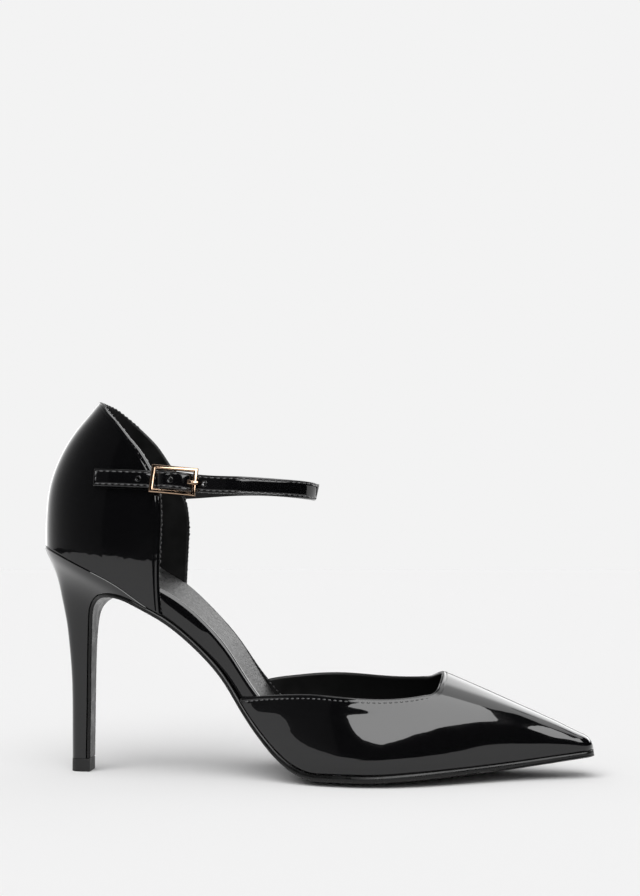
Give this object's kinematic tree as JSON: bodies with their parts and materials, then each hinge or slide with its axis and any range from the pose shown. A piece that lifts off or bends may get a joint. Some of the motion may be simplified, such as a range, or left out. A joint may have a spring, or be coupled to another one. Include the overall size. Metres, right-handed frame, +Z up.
{
  "type": "pointed court shoe",
  "caption": "Pointed court shoe with open sides, closed heel counter, slim high heel and buckled ankle strap, empty and standing on its sole.",
  "frame": {"origin": "centre of the shoe's outline at floor level, under the middle of its bounding box", "axes": "+X along the shoe from heel to toe, +Y to the medial (inner) side, +Z up; the floor is z = 0"},
  "size_m": [0.2416, 0.0728, 0.1641],
  "materials": {
    "patent": "black patent, high gloss",
    "sole": "black, satin, fine grain",
    "sock": "black smooth lining, satin",
    "rubber": "black, matt",
    "gold": "polished light rose gold"
  },
  "bodies": {
    "root": {"upper": "patent", "outsole": "sole", "heel": "patent", "top_piece": "rubber", "insole": "sock", "ankle_strap": "patent", "buckle_frame": "gold", "buckle_prong": "gold", "buckle_chape": "patent"}
  },
  "joints": []
}
